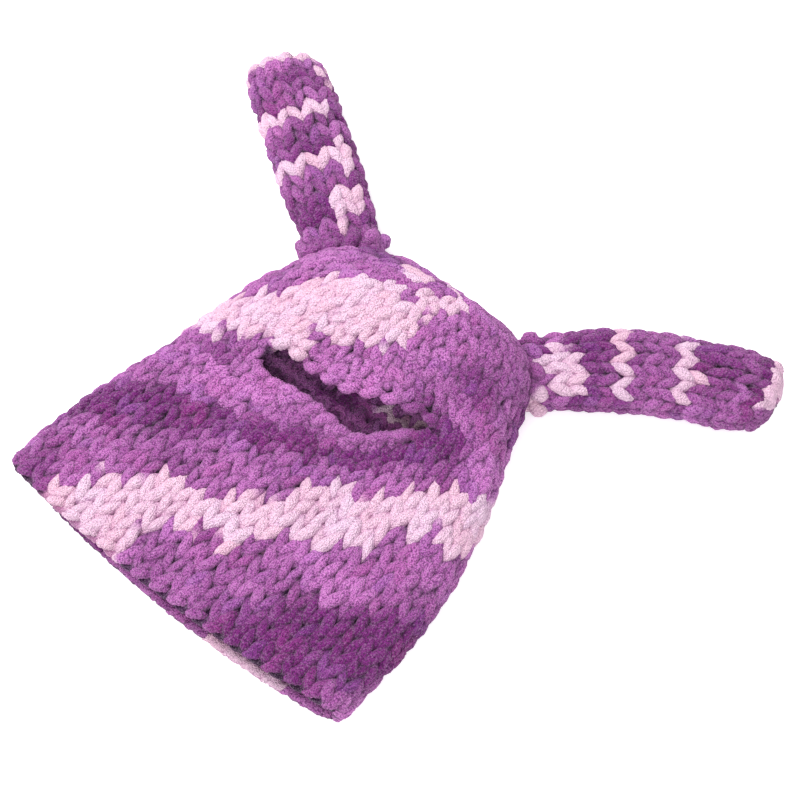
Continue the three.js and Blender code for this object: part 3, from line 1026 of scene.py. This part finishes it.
class Wire:
    """A socket of a shader's nodes, with arithmetic that adds Math nodes."""

    def __init__(self, shader: "Shader", socket: bpy.types.NodeSocket) -> None:
        """Wraps a socket of a shader."""
        self.shader = shader
        self.socket = socket

    def maths(self, operation: str, first: Any, second: Any) -> "Wire":
        """A Math node of some operation on two values, each a wire or a number."""
        return self.shader.node("ShaderNodeMath", {"operation": operation}, {0: first, 1: second})

    def __add__(self, other: Any) -> "Wire":
        """Sum."""
        return self.maths("ADD", self, other)

    def __sub__(self, other: Any) -> "Wire":
        """Difference."""
        return self.maths("SUBTRACT", self, other)

    def __rsub__(self, other: Any) -> "Wire":
        """Difference from a number."""
        return self.maths("SUBTRACT", other, self)

    def __mul__(self, other: Any) -> "Wire":
        """Product."""
        return self.maths("MULTIPLY", self, other)

    __radd__ = __add__
    __rmul__ = __mul__

    def step(self, low: float, high: float) -> "Wire":
        """A smooth step from 0 at low to 1 at high."""
        settings = {"interpolation_type": "SMOOTHSTEP"}
        return self.shader.node("ShaderNodeMapRange", settings, {"Value": self, 1: low, 2: high}, "Result")


class Shader:
    """A material whose nodes are added by one method."""

    def __init__(self, name: str) -> None:
        """Starts an empty material."""
        self.material = bpy.data.materials.new(name)
        self.material.use_nodes = True
        self.tree = self.material.node_tree
        self.tree.nodes.clear()

    def node(self, kind: str, settings: dict[str, Any], inputs: dict[Any, Any], output: Any = 0) -> Wire:
        """Adds a node.

        Args:
            kind: The node's type.
            settings: Properties set before its sockets are.
            inputs: Values or wires by the socket's name or number.
            output: The name or number of the socket to return.

        Returns:
            That socket.
        """
        made = self.tree.nodes.new(kind)
        for key, value in settings.items():
            setattr(made, key, value)
        for key, value in inputs.items():
            if isinstance(value, Wire):
                self.tree.links.new(value.socket, made.inputs[key])
            else:
                made.inputs[key].default_value = value
        return Wire(self, made.outputs[output])

    def place(self) -> Wire:
        """Coordinates on the object."""
        return self.node("ShaderNodeTexCoord", {}, {}, "Object")

    def noise(self, scale: float, detail: float) -> Wire:
        """A noise of that many cells to the metre."""
        inputs = {"Vector": self.place(), "Scale": scale, "Detail": detail}
        return self.node("ShaderNodeTexNoise", {}, inputs, "Fac")

    def cells(self, scale: float, output: str = "Distance") -> Wire:
        """Random cells, that many to the metre: the distance from their middles, or their colours."""
        return self.node("ShaderNodeTexVoronoi", {}, {"Vector": self.place(), "Scale": scale}, output)

    def red(self, colour: Wire) -> Wire:
        """The red share of a colour."""
        return self.node("ShaderNodeSeparateColor", {}, {"Color": colour}, "Red")

    def tint(self, colour: Wire, other: Triple, share: Wire, blend: str = "MIX") -> Wire:
        """A colour mixed with a share of another, linear colour, the way that a blend mode has it."""
        settings = {"data_type": "RGBA", "blend_type": blend}
        return self.node("ShaderNodeMix", settings, {0: share, 6: colour, 7: (*other, 1.0)}, 2)

    def finish(self, inputs: dict[str, Any]) -> bpy.types.Material:
        """Ends the material with a surface that has those inputs."""
        surface = self.node("ShaderNodeBsdfPrincipled", {}, inputs)
        end = self.tree.nodes.new("ShaderNodeOutputMaterial")
        self.tree.links.new(surface.socket, end.inputs["Surface"])
        return self.material


@dataclass(frozen=True)
class ChenilleFinish:
    """Velvety chenille pile: crisp crumbs with painted shade in the gaps between them, matt, with a soft
    tinted sheen.

    The painted shade in the gaps is less deep where the dye is pale. A random share of the crumbs gets a
    painted highlight.
    """

    crumbs: float = 1000.0
    grain: float = 2100.0
    tufts: float = 330.0
    # Painted shade in the gaps between the crumbs: its colour, its share, and how much less on pale dye.
    gap_shade: Triple = (0.26, 0.12, 0.3)
    gap_shade_share: float = 0.84
    gap_shade_pale: float = 0.5
    # Painted highlight: the pale pink that a random share of the crumbs is lightened towards, and how much.
    tip: Triple = (1.0, 0.82, 1.0)
    highlight_share: float = 0.09
    dusk: Triple = (0.7, 0.56, 0.72)
    rough: float = 0.92
    sheen: float = 0.22
    sheen_tint: Triple = (1.0, 0.72, 0.98)
    relief: float = 0.0014
    ragged: float = 0.45
    # The smooth step that marks the gaps that get painted shade.
    gap_shade_edge: tuple[float, float] = (0.42, 0.88)
    dusk_shares: tuple[float, float] = (0.25, 0.3)
    heights: Triple = (0.3, 0.9, 0.5)

    def material(self) -> bpy.types.Material:
        """Builds the material, which reads the yarn's colour and its painted crease shade from the mesh."""
        shader = Shader("chenille")
        named = {"attribute_name": "yarn_colour_and_shade"}
        # The mesh's colour: the yarn's dye with its painted crease shade.
        dye = shader.node("ShaderNodeAttribute", named, {}, "Color")
        pale = shader.node("ShaderNodeAttribute", named, {}, "Alpha")
        crumb = shader.cells(self.crumbs)
        own = shader.red(shader.cells(self.crumbs, "Color"))
        grain = shader.noise(self.grain, 1.0)
        tuft = shader.noise(self.tufts, 2.0)
        # Painted shade: the gaps between the crumbs, the bump's hollows, are darkened in the colour.
        gaps = (crumb + (0.5 - grain) * self.ragged).step(*self.gap_shade_edge)
        dusk = own.step(0.5, 1.0) * self.dusk_shares[0] + tuft.step(0.5, 0.72) * self.dusk_shares[1]
        shade = shader.tint(dye, self.dusk, dusk, "MULTIPLY")
        # Painted highlight on a random share of the crumbs.
        shade = shader.tint(shade, self.tip, own.step(0.5, 0.0) * self.highlight_share)
        # Painted shade in the gaps, less deep where the dye is pale.
        shade = shader.tint(shade, self.gap_shade, gaps * (self.gap_shade_share - pale * self.gap_shade_pale), "MULTIPLY")
        height = grain * self.heights[0] - crumb * self.heights[1] + tuft * self.heights[2]
        relief = {"Height": height, "Distance": self.relief, "Strength": 1.0}
        bump = shader.node("ShaderNodeBump", {}, relief, "Normal")
        return shader.finish(
            {
                "Base Color": shade,
                "Roughness": self.rough,
                "Normal": bump,
                "Sheen Weight": self.sheen,
                "Sheen Roughness": 0.5,
                "Sheen Tint": (*self.sheen_tint, 1.0),
                "Specular IOR Level": 0.1,
            }
        )


@dataclass(frozen=True)
class FloorFinish:
    """A matt white table top."""

    colour: Triple = (0.93, 0.93, 0.935)
    glow: float = 0.42

    def material(self) -> bpy.types.Material:
        """Builds the material."""
        return Shader("white_table").finish(
            {
                "Base Color": (*self.colour, 1.0),
                "Roughness": 0.9,
                "Emission Color": (1.0, 1.0, 1.0, 1.0),
                "Emission Strength": self.glow,
            }
        )


# The hat


@dataclass(frozen=True)
class Ear:
    """One ear: its form, its colours, and the strand that is picked up at its root."""

    form: EarForm
    dye: EarDye
    pick_up: Edging


@dataclass
class Hat:
    """The hood and its two ears, knitted in one yarn."""

    yarn: Yarn = Yarn()
    hood: HoodForm = HoodForm()
    ears: dict[str, Ear] = field(
        default_factory=lambda: {
            "ear_left": Ear(
                EarForm(side=-1, angle=57.5, bend=0.0, shift=0.0, slope=0.22),
                EarDye(
                    (
                        (3, 4.0, 4.3), (4, 3.0, 4.5), (5, 3.0, 4.6), (7, 3.0, 3.5), (8, 3.0, 7.0),
                        (9, 3.0, 3.4), (12, 3.0, 7.0), (14, 2.75, 3.05), (15, 2.6, 3.1), (16, 0.0, 2.7),
                        (16, 6.3, 9.0), (17, 0.0, 9.0),
                    ),
                    Wander((110, 111, 112), 0.68, 0.85, 0.5),
                ),
                Edging(2.0, 0.2, 3.0, 1.8, 1.25, 0.2, lumps=((0.25, 1.0, 0.0), (0.75, 5.0, 1.5))),
            ),
            "ear_right": Ear(
                EarForm(side=1, angle=56.0, bend=0.065, shift=0.1, slope=0.32),
                EarDye(
                    (
                        (1, 2.0, 3.3), (2, 4.2, 4.9), (3, 3.0, 5.3), (4, 3.0, 5.2), (7, 3.0, 6.6),
                        (11, 3.0, 6.2), (12, 4.0, 4.6), (17, 3.4, 6.5),
                    ),
                    Wander((120, 121, 122), 0.68, 0.85, 0.5),
                ),
                Edging(2.0, 0.2, 2.4, 1.8, 1.2, 0.2),
            ),
        }
    )
    stitch_width: float = 11.0
    rows_below: int = 14
    rows_above: int = 12
    hem_stitches: int = 40
    crown_stitches: int = 5
    ear_stitches: int = 9
    ear_rows: int = 18
    edge_reach: float = 0.5
    lip_reach: dict[Lip, float] = field(default_factory=lambda: {Lip.LOWER: 0.3, Lip.UPPER: 0.2})
    panels: dict[str, tuple[int, int]] = field(
        default_factory=lambda: {
            "hood_hem": (0, 7),
            "hood_face": (7, 14),
            "hood_brow": (14, 20),
            "hood_crown": (20, 26),
        }
    )
    cast_on: Edging = Edging(place=0.14, wave=0.1, height=0.0, coil=1.7, size=0.92)
    lips: dict[Lip, Edging] = field(
        default_factory=lambda: {
            Lip.LOWER: Edging(place=13.82, wave=0.06, height=2.2, coil=0.6, size=1.15, bead=0.06),
            Lip.UPPER: Edging(place=13.92, wave=0.12, height=2.3, coil=1.2, size=0.98, bead=0.2),
        }
    )
    drawn: Edging = Edging(place=17.2, wave=0.1, height=1.6, coil=1.0, size=1.2)

    def shift(self) -> Array:
        """What moves the hood from its own frame, with the hem on the axis, into the row's frame."""
        low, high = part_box("hood")
        x, y, _ = np.moveaxis(self.hood.skin(Lip.UPPER).points, -1, 0)
        return np.array([((low.x + high.x) / MM - x.min() - x.max()) / 2, high.y / MM - y.max(), 0.0])

    def hood_work(self) -> Piecework:
        """The hood's courses: even steps along its mean length, and fewer stitches as it narrows."""
        points = self.hood.skin(Lip.UPPER).points
        steps = np.linalg.norm(np.diff(points, axis=0), axis=-1).mean(axis=1)
        walk = np.concatenate([[0], np.cumsum(steps)])
        at = np.linspace(0, 1, len(walk))
        slit = np.interp(self.hood.slit_at, at, walk)
        above = np.linspace(slit, walk[-1], self.rows_above + 1)
        stops = np.concatenate([np.linspace(0, slit, self.rows_below + 1), above[1:]])
        places = np.interp(stops, walk, at)
        girth = np.linalg.norm(np.diff(points, axis=1), axis=-1).sum(axis=1) - math.pi * self.hood.wall
        fits = np.rint(np.interp((places[1:] + places[:-1]) / 2, at, girth) / self.stitch_width).astype(int)
        counts = [self.hem_stitches] * (self.rows_below + 1)
        for fit in fits[self.rows_below + 1 :]:
            counts.append(max(min(counts[-1], int(fit)), self.crown_stitches))
        return Piecework(counts, places)

    def hood_course(self, work: Piecework, k: int) -> Course:
        """A course of the hood, with its loops cut short at the hem, at the crown and at the lips."""
        plain = work.course(k, self.yarn.reach)
        down, up = plain.down.copy(), plain.up.copy()
        if k == 0:
            down[:] = self.edge_reach
        if k == len(work.counts) - 1:
            up[:] = self.edge_reach
        if k == self.rows_below - 1:
            middles = (plain.here[1:] + plain.here[:-1]) / 2
            up[np.abs(self.hood.along_slit(middles)) < 1] = self.lip_reach[Lip.LOWER]
        if k == self.rows_below:
            down[np.abs(self.hood.along_slit(plain.here)) < 1] = self.lip_reach[Lip.UPPER]
        return replace(plain, down=down, up=up)

    def trim_lip(self, loom: Loom, work: Piecework, dye: HoodDye, lip: Lip) -> None:
        """The slit's edge: a smooth bound-off chain on the lower lip, and a beaded strand on the upper one.

        Args:
            loom: The panel that has the lip.
            work: The hood's courses.
            dye: The hood's colours.
            lip: The lip.
        """
        right, left = self.hood.slit_shares()
        count = work.counts[self.rows_below]
        number = self.rows_below - 1 if lip is Lip.LOWER else self.rows_below
        edging = self.lips[lip]
        round_to = np.linspace(right, left, int(round((left - right) * count * edging.size)) + 1)

        def tone(stitch: Array) -> Shares:
            """The dye of the course beside the edge."""
            round_at = np.interp(stitch, np.arange(len(round_to)), round_to)
            return dye.tone(number, round_at * count, count)

        loom.trim(edging, round_to, tone, closed=False)

    def knit_hood(self, shift: Array) -> list[bpy.types.Object]:
        """The hood's panels, moved by a shift into the row's frame."""
        work, dye, pieces = self.hood_work(), HoodDye(), []
        cloths = {lip: Cloth(self.yarn, work, self.hood.skin(lip), self.hood.wall) for lip in Lip}
        for number, (name, (first, last)) in enumerate(self.panels.items()):
            lip = Lip.LOWER if last <= self.rows_below else Lip.UPPER
            loom = Loom(name, cloths[lip], PANEL_SEED * (number + 1))
            for k in range(first, last):
                course = self.hood_course(work, k)
                loom.knit(course, HOOD_SEED + k, partial(dye.tone, k, count=course.stitches))
            if first == 0:
                hem = np.arange(self.hem_stitches + 1) / self.hem_stitches
                loom.trim(self.cast_on, hem, partial(dye.tone, 0, count=self.hem_stitches))
            if self.rows_below in (first, last):
                self.trim_lip(loom, work, dye, lip)
            pieces.append(loom.make(shift))
        return pieces

    def knit_ear(self, name: str, shift: Array) -> bpy.types.Object:
        """One ear: a narrow tube of stitches, flattened, with its tip drawn together.

        Args:
            name: The ear's node.
            shift: What moves it into the row's frame.

        Returns:
            The piece.
        """
        ear = self.ears[name]
        side, last = ear.form.side, self.ear_rows - 1
        work = Piecework([self.ear_stitches] * self.ear_rows, np.linspace(0, 1, self.ear_rows + 1))
        cloth = Cloth(self.yarn, work, ear.form.skin(), ear.form.wall)
        loom = Loom(f"{name}_knit", cloth, EAR_SEEDS[0] + EAR_SEEDS[1] * side)
        for k in range(1, self.ear_rows):
            course = work.course(k, self.yarn.reach)
            if k == last:
                course = replace(course, up=course.up * self.edge_reach)
            loom.knit(course, EAR_ROW_SEEDS[0] + EAR_ROW_SEEDS[1] * side + k, partial(ear.dye.tone, k))
        root = np.arange(self.ear_stitches + 1) / self.ear_stitches
        loom.trim(ear.pick_up, root, partial(ear.dye.tone, 1))
        loom.trim(self.drawn, root, partial(ear.dye.tone, last))
        return loom.make(shift)


# The studio


@dataclass(frozen=True)
class Lamp:
    """A square soft light that faces the middle of the table. Its place and side are in metres."""

    name: str
    place: Triple
    side: float
    power: float

    def hang(self) -> None:
        """Puts the lamp in the scene."""
        light = bpy.data.lights.new(self.name, "AREA")
        light.shape = "SQUARE"
        light.size = self.side
        light.energy = self.power
        lamp = bpy.data.objects.new(self.name, light)
        bpy.context.scene.collection.objects.link(lamp)
        lamp.location = self.place
        lamp.rotation_euler = (-lamp.location).to_track_quat("-Z", "Y").to_euler()


@dataclass(frozen=True)
class Studio:
    """A white table under soft light, and the camera at the photographer's place.

    The table's half side and how far its top is sunk under the hat are metres.
    """

    target: Triple = (16.1, 13.8, 0.0)
    azimuth: float = 39.5
    elevation: float = 68.0
    distance: float = 1000.0
    lens: float = 78.9
    sensor: float = 36.0
    clip: float = 0.05
    table: float = 6.0
    sunk: float = 0.0006
    sky: float = 0.65
    lamps: tuple[Lamp, ...] = (
        Lamp("key", (-1.1, 0.1, 1.4), 1.0, 30.0),
        Lamp("fill", (0.5, -0.8, 1.7), 1.0, 14.5),
    )

    def floor(self) -> None:
        """The table top."""
        half = self.table
        square = [(-half, -half, 0), (half, -half, 0), (half, half, 0), (-half, half, 0)]
        mesh = bpy.data.meshes.new("table_top")
        mesh.from_pydata(square, [], [(0, 1, 2, 3)])
        mesh.materials.append(FloorFinish().material())
        top = bpy.data.objects.new("table_top", mesh)
        top.location.z = -self.sunk
        bpy.context.scene.collection.objects.link(top)

    def light(self) -> None:
        """White surroundings and the lamps."""
        world = bpy.data.worlds.new("studio")
        bpy.context.scene.world = world
        world.use_nodes = True
        background = world.node_tree.nodes["Background"].inputs
        background["Color"].default_value = (1.0, 1.0, 1.0, 1.0)
        background["Strength"].default_value = self.sky
        for lamp in self.lamps:
            lamp.hang()
        bpy.context.scene.view_settings.view_transform = "Standard"

    def camera(self) -> None:
        """The camera, looking down at the target from the photograph's angle."""
        azimuth, elevation = math.radians(self.azimuth), math.radians(self.elevation)
        level = math.cos(elevation)
        back = Vector((math.sin(azimuth) * level, -math.cos(azimuth) * level, math.sin(elevation)))
        data = bpy.data.cameras.new("camera")
        data.sensor_width = self.sensor
        data.lens = self.lens
        data.clip_start = self.clip
        camera = bpy.data.objects.new("camera", data)
        bpy.context.scene.collection.objects.link(camera)
        camera.location = (Vector(self.target) + self.distance * back) * MM
        camera.rotation_euler = (-back).to_track_quat("-Z", "Y").to_euler()
        bpy.context.scene.camera = camera


def main() -> None:
    """Builds the hat and its surroundings."""
    logging.basicConfig(level=logging.INFO, format="%(name)s: %(message)s")
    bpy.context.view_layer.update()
    studio = Studio()
    studio.camera()
    studio.light()
    studio.floor()
    hat = Hat()
    shift = hat.shift()
    finish = ChenilleFinish().material()
    dressed = [(piece, "hood") for piece in hat.knit_hood(shift)]
    dressed += [(hat.knit_ear(name, shift), name) for name in hat.ears]
    for piece, node in dressed:
        piece.data.materials.append(finish)
        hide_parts(node)
        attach(piece, BODY)
        triangles = sum(len(face.vertices) - 2 for face in piece.data.polygons)
        LOG.info("%s: %d triangles", piece.name, triangles)


if __name__ == "__main__":
    main()
